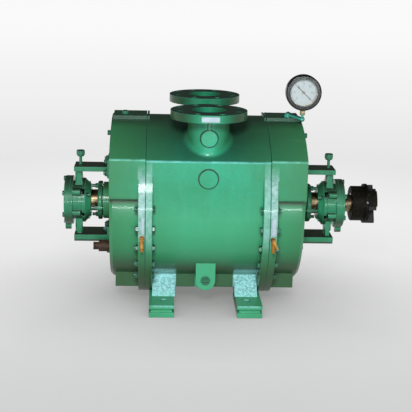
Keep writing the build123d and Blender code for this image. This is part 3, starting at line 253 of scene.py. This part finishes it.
def casting_tone_and_shade(m, color, wide, y, z):
    """Yellower below the hood, painted olive shade at the ends and on the lower barrel, painted shade
    high up.
    """
    color = m.mix(m.spread(z, SH + 0.09, SH - 0.03, 0.0, 0.8), color, srgb(78, 184, 134))
    # Painted olive shade towards the ends, where the light falls off.
    color = m.mix(m.spread(wide, 0.07, 0.29, 0.0, 0.80), color, srgb(60, 134, 84))
    # Painted shade on the neck and flange above the crown, darkest away from the middle.
    high = m.times(m.spread(z, SH + 0.255, SH + 0.272), m.spread(wide, 0.030, 0.080, 0.15, 0.85))
    color = m.mix(high, color, srgb(28, 52, 36))
    # Painted olive shade on the lower barrel front, clear of the drain boss and the feet.
    low = m.times(m.spread(z, SH - 0.090, SH - 0.172), m.spread(m.maths("ABSOLUTE", y), 0.235, 0.185))
    off_boss = m.maths("MAXIMUM", m.spread(wide, 0.0300, 0.0306), m.spread(z, SH - 0.1480, SH - 0.1465))
    off_feet = m.spread(z, 0.042, 0.055)
    low = m.times(m.times(low, off_boss), off_feet)
    return m.mix(m.times(low, 0.88), color, srgb(54, 84, 50))


def ring_lower_shade(m, color, reach, wide, z):
    """Painted olive shade on the lower part of a joint ring's rim, clear of the feet."""
    low = m.times(m.spread(reach, 0.2790, 0.2815), m.spread(z, SH - 0.070, SH - 0.160))
    low = m.times(low, m.times(m.spread(wide, 0.1620, 0.1629), m.spread(z, 0.039, 0.045)))
    return m.mix(m.times(low, 0.85), color, srgb(56, 96, 52))


def head_marks(m, color, normal):
    """Painted highlights on the ring rim and the crease, painted shadow under the ledge."""
    x, y, z = position(m)
    wide = m.maths("ABSOLUTE", x)
    reach = m.reach(y, m.maths("SUBTRACT", z, SH))
    color = casting_tone_and_shade(m, color, wide, y, z)
    patches = m.spread(m.noise(70, 5, 0.65), 0.36, 0.60, 0.35, 1.0)
    # Painted highlight: pale patches on the front of the ring rim.
    rim_highlight = m.times(m.spread(reach, 0.2815, 0.2832), band(m, z, SH - 0.030, SH + 0.110, 0.06))
    rim_highlight = m.times(rim_highlight, m.times(band(m, wide, 0.184, 0.207, 0.001), patches))
    color = m.mix(m.times(rim_highlight, 0.9), color, srgb(176, 214, 214))
    color = ring_lower_shade(m, color, reach, wide, z)
    # Painted highlight: a pale broken line along the crease.
    crease_highlight_noise = m.spread(m.noise(35, 4), 0.35, 0.55, 0.3, 1)
    crease_highlight = m.times(band(m, z, SH + 0.1795, SH + 0.1825, 0.0022), crease_highlight_noise)
    color = m.mix(m.times(crease_highlight, 0.7), color, srgb(130, 222, 200))
    # Painted shadow: a dark band under the ledge.
    ledge_shadow = m.times(band(m, z, SH + 0.050, SH + 0.0635, 0.010), m.spread(reach, 0.2700, 0.2500))
    return m.mix(m.times(ledge_shadow, 0.7), color, srgb(52, 66, 34))


def pipe_marks(m, color, normal):
    """Bare brass at the gauge's end of the pipe."""
    z = position(m)[2]
    brass = m.mix(m.spread(m.noise(90, 4), 0.4, 0.6), srgb(206, 178, 118), srgb(120, 84, 44))
    color = m.mix(m.spread(z, 0.5930, 0.5945), color, srgb(126, 138, 112))
    return m.mix(m.spread(z, 0.6000, 0.6010), color, brass)


def casing_marks(m, color, normal):
    """Painted side shade, painted groove shadows at the bosses, painted highlights on crease, ring rims,
    web fronts.
    """
    x, y, z = position(m)
    wide = m.maths("ABSOLUTE", x)
    reach = m.reach(y, m.maths("SUBTRACT", z, SH))
    color = casting_tone_and_shade(m, color, wide, y, z)
    # Painted shade on faces turned sideways.
    side_shade = m.spread(m.maths("ABSOLUTE", normal.outputs["X"]), 0.15, 0.85)
    color = m.mix(m.times(side_shade, 0.70), color, srgb(42, 74, 38))
    front = m.spread(y, -0.10, -0.14)
    coarse = m.spread(m.noise(55, 5, 0.65), 0.35, 0.62)
    fine = m.spread(m.noise(160, 4, 0.7), 0.40, 0.60)
    # Painted shadow: dark rings round the two bosses and two dark lines by the slot, front only.
    groove_shadow = m.maths("MAXIMUM", circle_line(m, x, z, 0, SH + 0.244, 0.0255, 0.003),
                    circle_line(m, x, z, 0, SH + 0.127, 0.029, 0.003))
    slot = m.times(band(m, wide, 0.0048, 0.0062, 0.0008), band(m, z, SH + 0.270, SH + 0.300, 0.002))
    groove_shadow = m.times(m.maths("MAXIMUM", groove_shadow, slot), front)
    color = m.mix(m.times(groove_shadow, 0.92), color, srgb(14, 44, 34))
    # Painted highlight: a pale broken line along the crease.
    crease_highlight_noise = m.spread(m.noise(35, 4), 0.35, 0.55, 0.35, 1)
    crease_highlight = m.times(band(m, z, SH + 0.1755, SH + 0.1785, 0.0022), crease_highlight_noise)
    color = m.mix(m.times(crease_highlight, 0.8), color, srgb(120, 226, 214))
    # Painted highlight: pale patches on the front of the ring rims.
    rim_highlight = m.times(m.spread(reach, 0.2815, 0.2832), band(m, z, SH - 0.040, SH + 0.125, 0.06))
    rim_highlight = m.times(rim_highlight, band(m, wide, 0.1655, 0.190, 0.0006))
    rim_highlight = m.times(rim_highlight, m.spread(coarse, 0.0, 1.0, 0.35, 0.8))
    color = m.mix(rim_highlight, color, srgb(158, 214, 206))
    color = ring_lower_shade(m, color, reach, wide, z)
    # Painted highlight on the front faces of the foot webs.
    place = m.times(band(m, z, 0.040, 0.115, 0.01), band(m, wide, 0.090, 0.163, 0.002))
    web_highlight = m.times(m.spread(normal.outputs["Y"], -0.50, -0.65), place)
    web_highlight = m.times(web_highlight, m.spread(fine, 0.0, 1.0, 0.45, 1.0))
    return m.mix(m.times(web_highlight, 0.95), color, srgb(178, 246, 252))


def metal(name, light, dark, rough, grain_scale=160, stretch=(1, 1, 1), spots=None, metallic=1.0,
          bump=0.12, gloss=0.5):
    """Bare or plated metal with tone drift, turning or grinding lines and optional stains."""
    m = Mat(name)
    color = m.mix(m.spread(m.noise(40, 4, 0.6), 0.35, 0.65), light, dark)
    lines = m.noise(grain_scale, 3, 0.6, stretch=stretch)
    color = m.mix(m.times(m.spread(lines, 0.45, 0.7), 0.3), color, dark)
    if spots:
        color = m.mix(m.spread(m.noise(75, 5, 0.65), 0.50, 0.64), color, spots)
    roughness = m.spread(lines, 0.3, 0.7, rough - 0.08, rough + 0.12)
    return m.shader(color, metallic, roughness, ((lines, bump, 0.0006),), bevel=0.0006, gloss=gloss)


M = {
    "casting_paint": paint("paint_casting", srgb(46, 184, 144), srgb(46, 150, 98), srgb(110, 222, 200),
                           extra=casing_marks),
    "head_paint": paint("paint_head", srgb(46, 184, 144), srgb(46, 150, 98), srgb(120, 224, 204),
                        extra=head_marks),
    "bracket_paint": paint("paint_bracket", srgb(52, 156, 112), srgb(40, 108, 72), srgb(126, 222, 196),
                           cast=0.8, top_shade_tone=srgb(34, 28, 20)),
    "fastener_paint": paint("paint_fastener", srgb(48, 130, 98), srgb(30, 84, 62), srgb(150, 226, 210),
                            cast=0.2, wear_and_highlight=0.5),
    "fitting_paint": paint("paint_fitting", srgb(56, 140, 104), srgb(40, 92, 66), srgb(128, 190, 150),
                           cast=0.2),
    "gauge_pipe": paint("paint_pipe", srgb(72, 176, 156), srgb(50, 136, 116), srgb(130, 220, 200),
                        cast=0.2, extra=pipe_marks),
    "gasket": paint("paint_gasket", srgb(30, 84, 60), srgb(20, 58, 42), srgb(60, 140, 110), cast=0.3),
    "inner_iron": metal("iron_inner", srgb(96, 94, 90), srgb(58, 56, 54), 0.55, 120),
    "rotor_iron": metal("iron_rotor", srgb(122, 118, 112), srgb(80, 76, 72), 0.45, 120),
    "shaft_steel": metal("steel_shaft", srgb(176, 160, 128), srgb(84, 62, 48), 0.32, 30, (40, 1, 1),
                         srgb(84, 54, 42)),
    "sleeve_steel": metal("steel_sleeve", srgb(158, 144, 112), srgb(76, 58, 44), 0.34, 30, (40, 1, 1),
                          srgb(86, 56, 44)),
    "packing": metal("packing_braid", srgb(150, 142, 120), srgb(96, 90, 74), 0.7, 260, metallic=0.0),
    "bronze": metal("bronze_cast", srgb(170, 128, 76), srgb(120, 84, 46), 0.4),
    "bearing_steel": metal("steel_bearing", srgb(182, 184, 186), srgb(140, 142, 146), 0.25, 90,
                           (30, 1, 1)),
    "coupling_black": metal("iron_coupling", srgb(16, 14, 8), srgb(8, 7, 4), 0.55, 60, (30, 1, 1),
                            srgb(34, 30, 16), metallic=0.0, bump=0.25, gloss=0.12),
    "spider_rubber": metal("rubber_spider", srgb(30, 28, 26), srgb(18, 17, 16), 0.62, 300, metallic=0.0),
    "gauge_black": metal("enamel_gauge", srgb(12, 12, 12), srgb(6, 6, 6), 0.2, 220, metallic=0.0,
                         bump=0.05, gloss=0.3),
    "pointer_black": metal("enamel_pointer", srgb(24, 30, 34), srgb(12, 16, 18), 0.35, 220, metallic=0.0,
                           bump=0.02),
    "cock_brass": metal("brass_cock", srgb(226, 158, 62), srgb(160, 98, 34), 0.30, 120,
                        spots=srgb(120, 76, 34)),
    "handle_metal": metal("brass_handle", srgb(214, 158, 78), srgb(140, 98, 46), 0.34, 120,
                          spots=srgb(120, 150, 116)),
    "rusty_pipe": metal("pipe_rusty", srgb(70, 50, 36), srgb(34, 22, 16), 0.6, 120,
                        spots=srgb(84, 44, 28), metallic=0.15, bump=0.6),
    "plate_white": metal("plate_blank", srgb(206, 222, 232), srgb(180, 200, 214), 0.4, 90, metallic=0.0,
                         bump=0.05),
    "ink_dial": metal("ink_dial", srgb(46, 66, 92), srgb(30, 46, 66), 0.5, 300, metallic=0.0, bump=0.02),
}


def dial_material():
    m = Mat("dial_face")
    fleck = m.spread(m.noise(90, 4, 0.6), 0.35, 0.7)
    color = m.mix(m.times(fleck, 0.35), srgb(208, 218, 222), srgb(190, 202, 208))
    return m.shader(color, 0.0, 0.4, ((m.noise(400, 2), 0.03, 0.0005),))


def glass_material():
    m = Mat("glass_clear")
    bsdf = m.add("ShaderNodeBsdfPrincipled")
    bsdf.inputs["Base Color"].default_value = (0.95, 0.97, 0.96, 1)
    bsdf.inputs["Roughness"].default_value = 0.04
    bsdf.inputs["Alpha"].default_value = 0.10
    smear = m.add("ShaderNodeBump")
    smear.inputs["Strength"].default_value = 0.02
    m.link(m.noise(30, 3), smear.inputs["Height"])
    m.link(smear.outputs["Normal"], bsdf.inputs["Normal"])
    m.link(bsdf.outputs[0], m.out.inputs["Surface"])
    return m.mat


M["dial_white"] = dial_material()
M["gauge_glass"] = glass_material()

slots = {s["node"]: s["material_slot"] for s in frame["record"]["subparts"]}
slots.update({"left_head": "head_paint", "right_head": "head_paint"})
for name, obj in nodes.items():
    obj.data.materials.clear()
    obj.data.materials.append(M[slots[name]])


def piece(name, bm, material, body, smooth=False):
    """Makes the bmesh a named piece that rides on a body."""
    mesh = bpy.data.meshes.new(name)
    bmesh.ops.recalc_face_normals(bm, faces=bm.faces)
    bm.to_mesh(mesh)
    bm.free()
    mesh.materials.append(M[material])
    if smooth:
        mesh.shade_smooth()
    obj = bpy.data.objects.new(name, mesh)
    bpy.context.scene.collection.objects.link(obj)
    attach(obj, body)
    return obj


def lathe(bm, profile, origin, axis, steps=32, closed=True, lobes=None):
    """Adds a turned shape. The profile gives (radius, distance along the axis)."""
    axis = Vector(axis).normalized()
    side = axis.orthogonal().normalized()
    other = axis.cross(side)
    rings = []
    for radius, along in profile:
        ring = []
        for k in range(steps):
            a = 2 * math.pi * k / steps
            reach = radius * (lobes(k) if lobes else 1)
            spoke = side * math.cos(a) + other * math.sin(a)
            ring.append(bm.verts.new(Vector(origin) + axis * along + spoke * reach))
        rings.append(ring)
    pairs = list(zip(rings, rings[1:]))
    if closed:
        pairs.append((rings[-1], rings[0]))
    for a, b in pairs:
        for k in range(steps):
            j = (k + 1) % steps
            bm.faces.new((a[k], a[j], b[j], b[k]))


def curved_plate(bm, centre, frame_axes, radius, turn, reach, thick=0.0009, steps=12, cut=0.0016):
    """A thin blank plate bent round a rim, over a turn of angles and a reach along the axis."""
    out, up, along = (Vector(v) for v in frame_axes)
    grids = []
    for r in (radius, radius + thick):
        inset = cut if r > radius else 0.0
        grid = []
        for i in range(steps + 1):
            a = turn[0] + (turn[1] - turn[0]) * i / steps
            a += (inset / radius) * (1 - 2 * i / steps)
            spoke = out * math.cos(a) + up * math.sin(a)
            row = []
            for w in (reach[0] + inset, reach[1] - inset):
                row.append(bm.verts.new(Vector(centre) + spoke * r + along * w))
            grid.append(row)
        grids.append(grid)
    low, high = grids
    for i in range(steps):
        bm.faces.new((high[i][0], high[i][1], high[i + 1][1], high[i + 1][0]))
        bm.faces.new((low[i][0], low[i + 1][0], low[i + 1][1], low[i][1]))
        for j in (0, 1):
            bm.faces.new((low[i][j], high[i][j], high[i + 1][j], low[i + 1][j]))
    for i in (0, steps):
        bm.faces.new((low[i][0], low[i][1], high[i][1], high[i][0]))


def add_washers():
    """Washers under the nuts that hold the bearing brackets."""
    foot_plate = 0.306  # |x| of the outer face that the nuts press on
    studs = ((0.026, 0.129), (0.0535, 0.099), (0.030, -0.086), (0.030, -0.141))
    spots = [(s * y, z) for y, z in studs for s in (-1, 1)]
    ring = ((0.0063, 0.0), (0.0122, 0.0), (0.0128, 0.0004), (0.0128, 0.0012), (0.0122, 0.0017),
            (0.0063, 0.0017))
    bm = bmesh.new()
    for side in (-1, 1):
        for y, z in spots:
            lathe(bm, ring, (side * foot_plate, y, SH + z), (side, 0, 0), 28)
    piece("bracket_washers", bm, "fastener_paint", "casing", True)


def hexagon(bm, place, axis, corner, height, turn):
    """A hexagon head or nut with its outer corners chamfered."""
    along = Vector(axis)
    rings = []
    for scale, up in ((1.0, 0.0), (1.0, 0.78), (0.88, 1.0)):
        ring = []
        for k in range(6):
            a = math.radians(60 * k + turn)
            out = Vector((0, math.cos(a), math.sin(a))) * corner * scale
            ring.append(bm.verts.new(Vector(place) + out + along * height * up))
        rings.append(ring)
    for low, high in zip(rings, rings[1:]):
        for k in range(6):
            j = (k + 1) % 6
            bm.faces.new((low[k], low[j], high[j], high[k]))
    bm.faces.new(rings[0])
    bm.faces.new(rings[-1])


def add_ring_bolts():
    """The joint bolts between those that are solids, where the photo shows one midway."""
    shank, corner, height = 0.006, 0.0104, 0.008
    tip = ((0.0, 0.0), (shank, 0.0), (shank, 0.0108), (shank - 0.0012, 0.012), (0.0, 0.012))
    bm = bmesh.new()
    for side in (-1, 1):
        for turn in (185.25, 211.75, 328.25, 354.75):
            a = math.radians(turn)
            y, z = BOLT_CIRCLE * math.cos(a), SH + BOLT_CIRCLE * math.sin(a)
            hexagon(bm, (side * RING_INSIDE, y, z), (-side, 0, 0), corner, height, turn)
            hexagon(bm, (side * RING_OUTSIDE, y, z), (side, 0, 0), corner, height, turn)
            lathe(bm, tip, (side * RING_OUTSIDE, y, z), (side, 0, 0), 20, closed=False)
    bmesh.ops.remove_doubles(bm, verts=bm.verts, dist=0.00001)
    piece("ring_bolts_between", bm, "fastener_paint", "casing")


def add_plates():
    """Blank plates on the front flange and on the joint rings, as the photo shows them."""
    flange_top, flange_radius = (0, -0.170, 0.616), 0.1143
    bm = bmesh.new()
    curved_plate(bm, flange_top, ((0, -1, 0), (1, 0, 0), (0, 0, 1)), flange_radius, (-0.225, 0.245),
                 (-0.0205, -0.0045))
    for span in ((-0.1955, -0.1870), (0.1885, 0.2015)):
        curved_plate(bm, (0, 0, SH), ((0, -1, 0), (0, 0, 1), (1, 0, 0)), RING_RADIUS,
                     (-0.130, 0.052), span)
    piece("blank_plates", bm, "plate_white", "casing")


def add_knurls():
    """Knurled bands round the grease caps."""
    cup_x, cap_foot = 0.392, SH + 0.1462
    profile = ((0.0124, 0.0), (0.0131, 0.0006), (0.0131, 0.0086), (0.0124, 0.0092))
    for side, name in ((-1, "left"), (1, "right")):
        bm = bmesh.new()
        lathe(bm, profile, (side * cup_x, 0, cap_foot), (0, 0, 1), 64,
              lobes=lambda k: 1.0 if k % 2 else 0.955)
        piece(name + "_cap_knurl", bm, "fastener_paint", name + "_cap")


def add_dial():
    """Ticks, plain numbers, an inner seal ring and the brass nut of the pointer."""
    low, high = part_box("gauge_dial")
    front = low[1]
    cx, cz = (low[0] + high[0]) / 2, (low[2] + high[2]) / 2
    zero = 225  # degrees, place of the 0; the scale runs 270 degrees clockwise to the 30
    tick_end, number_circle = 0.0385, 0.0268
    bm = bmesh.new()

    def bar(angle, r0, r1, width):
        """A flat mark between two radii."""
        along = Vector((math.cos(angle), 0, math.sin(angle)))
        across = Vector((-math.sin(angle), 0, math.cos(angle))) * width / 2
        corners = ((r0, -1), (r1, -1), (r1, 1), (r0, 1))
        base = [Vector((cx, front, cz)) + along * r + across * s for r, s in corners]
        near = [bm.verts.new(v + Vector((0, -0.00025, 0))) for v in base]
        far = [bm.verts.new(v + Vector((0, 0.0001, 0))) for v in base]
        bm.faces.new(near)
        bm.faces.new(list(reversed(far)))
        for k in range(4):
            bm.faces.new((near[k], near[(k + 1) % 4], far[(k + 1) % 4], far[k]))

    for k in range(61):
        angle = math.radians(zero - 4.5 * k)
        if k % 10 == 0:
            bar(angle, 0.0325, tick_end, 0.0011)
        else:
            bar(angle, 0.0350 if k % 2 == 0 else 0.0362, tick_end, 0.0006)
    for k in range(90):
        bar(math.radians(zero - 3 * k - 1.5), 0.03852, 0.0390, 0.0021)
    for k in range(7):
        data = bpy.data.curves.new("number", "FONT")
        data.body = str(5 * k)
        data.size = 0.0082
        data.align_x = "CENTER"
        data.align_y = "CENTER"
        data.extrude = 0.00012
        holder = bpy.data.objects.new("number", data)
        flat = bpy.data.meshes.new_from_object(holder)
        angle = math.radians(zero - 45 * k)
        x, z = cx + number_circle * math.cos(angle), cz + number_circle * math.sin(angle)
        place = Matrix.Translation((x, front - 0.0001, z))
        flat.transform(place @ Matrix.Rotation(math.radians(90), 4, "X"))
        bm.from_mesh(flat)
        bpy.data.objects.remove(holder)
        bpy.data.curves.remove(data)
        bpy.data.meshes.remove(flat)
    piece("dial_marks", bm, "ink_dial", "casing")
    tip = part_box("gauge_pointer")[0]
    bm = bmesh.new()
    lathe(bm, ((0.0, -0.0021), (0.0016, -0.0021), (0.0030, -0.0012), (0.0033, 0.0), (0.0, 0.0)),
          (cx, tip[1], cz), (0, 1, 0), 24, closed=False)
    piece("pointer_nut", bm, "cock_brass", "pointer", True)
    bm = bmesh.new()
    lathe(bm, ((0.0403, 0.0), (0.0416, 0.0), (0.0416, -0.0014), (0.0410, -0.0019), (0.0403, -0.0014)),
          (cx, front, cz), (0, 1, 0), 72)
    piece("dial_seal", bm, "handle_metal", "casing", True)


add_washers()
add_ring_bolts()
add_plates()
add_knurls()
add_dial()


def set_stage():
    """A pale floor that fades to the white backdrop, and the world round it."""
    mesh = bpy.data.meshes.new("floor")
    size = 40
    corners = [(-size, -size, 0), (size, -size, 0), (size, size, 0), (-size, size, 0)]
    mesh.from_pydata(corners, [], [(0, 1, 2, 3)])
    floor = bpy.data.objects.new("floor", mesh)
    bpy.context.scene.collection.objects.link(floor)
    m = Mat("floor_pale")
    geo = m.add("ShaderNodeNewGeometry")
    split = m.add("ShaderNodeSeparateXYZ")
    m.link(geo.outputs["Position"], split.inputs[0])
    backdrop = srgb(253, 253, 253)
    # The glow is a painted falloff of light: darker near the front, brighter far off.
    greys = ((0.005, 192), (0.075, 212), (0.1225, 223), (0.178, 229), (0.44, 243), (0.967, 253))
    behind = m.spread(m.maths("ABSOLUTE", m.maths("ADD", split.outputs["Y"], 1.0)), 0.0, 12.0)
    shade = m.ramp(behind, [(place, srgb(grey, grey, grey)) for place, grey in greys])
    across = m.reach(split.outputs["X"], split.outputs["Y"])
    shade = m.mix(m.spread(across, 5.0, 14.0), shade, backdrop)
    glow = m.add("ShaderNodeEmission")
    # Painted contact shadow: the glow darkens where the AO finds the pump close by.
    near = m.add("ShaderNodeAmbientOcclusion", samples=8)
    near.inputs["Distance"].default_value = 0.45
    contact_shadow = m.mix(m.spread(near.outputs["AO"], 0.0, 1.0), srgb(150, 152, 150), (1.0, 1.0, 1.0, 1.0))
    m.link(m.mix(1.0, contact_shadow, shade, "MULTIPLY"), glow.inputs["Color"])
    glow.inputs["Strength"].default_value = 0.97
    plain = m.add("ShaderNodeBsdfDiffuse")
    floor_tone = m.mix(m.spread(across, 1.3, 2.3), (0.14, 0.14, 0.14, 1.0), (0.0, 0.0, 0.0, 1.0))
    m.link(floor_tone, plain.inputs["Color"])
    both = m.add("ShaderNodeAddShader")
    m.link(glow.outputs[0], both.inputs[0])
    m.link(plain.outputs[0], both.inputs[1])
    path = m.add("ShaderNodeLightPath")
    seen = m.maths("MAXIMUM", path.outputs["Is Camera Ray"],
                   m.maths("MAXIMUM", path.outputs["Is Glossy Ray"], path.outputs["Is Transmission Ray"]))
    choose = m.add("ShaderNodeMixShader")
    m.link(seen, choose.inputs[0])
    m.link(plain.outputs[0], choose.inputs[1])
    m.link(both.outputs[0], choose.inputs[2])
    m.link(choose.outputs[0], m.out.inputs["Surface"])
    mesh.materials.append(m.mat)

    world = bpy.data.worlds.new("world")
    bpy.context.scene.world = world
    world.use_nodes = True
    tree = world.node_tree
    tree.nodes.clear()
    out = tree.nodes.new("ShaderNodeOutputWorld")
    soft = tree.nodes.new("ShaderNodeBackground")
    soft.inputs["Color"].default_value = (0.92, 0.96, 1.0, 1)
    soft.inputs["Strength"].default_value = 0.07
    back = tree.nodes.new("ShaderNodeBackground")
    back.inputs["Color"].default_value = backdrop
    back.inputs["Strength"].default_value = 1.0
    path = tree.nodes.new("ShaderNodeLightPath")
    choose = tree.nodes.new("ShaderNodeMixShader")
    tree.links.new(path.outputs["Is Camera Ray"], choose.inputs[0])
    tree.links.new(soft.outputs[0], choose.inputs[1])
    tree.links.new(back.outputs[0], choose.inputs[2])
    tree.links.new(choose.outputs[0], out.inputs["Surface"])


def lamp(name, place, target, size, power, color=(1, 1, 1), glossy=True):
    """An area lamp, unseen itself; glossy says whether its reflection shows."""
    data = bpy.data.lights.new(name, "AREA")
    data.shape = "RECTANGLE"
    data.size, data.size_y = size
    data.energy = power
    data.color = color
    obj = bpy.data.objects.new(name, data)
    obj.location = place
    obj.rotation_euler = (Vector(target) - Vector(place)).to_track_quat("-Z", "Y").to_euler()
    obj.visible_camera = False
    obj.visible_glossy = glossy
    bpy.context.scene.collection.objects.link(obj)


set_stage()
lamp("key", (-0.25, -3.0, 1.9), (0, 0, 0.3), (0.7, 0.6), 66, (0.98, 1.0, 1.0))
lamp("low", (0.10, -3.1, 0.46), (0, 0, 0.3), (2.2, 0.10), 30, (0.90, 1.0, 1.0))
lamp("right", (3.2, 0.3, 0.9), (0.2, 0, 0.3), (1.2, 1.0), 42, glossy=False)
lamp("left", (-3.2, 0.3, 0.9), (-0.2, 0, 0.3), (1.2, 1.0), 42, glossy=False)
lamp("back", (0.3, 3.0, 2.4), (0, 0, 0.3), (1.0, 0.8), 46, glossy=False)
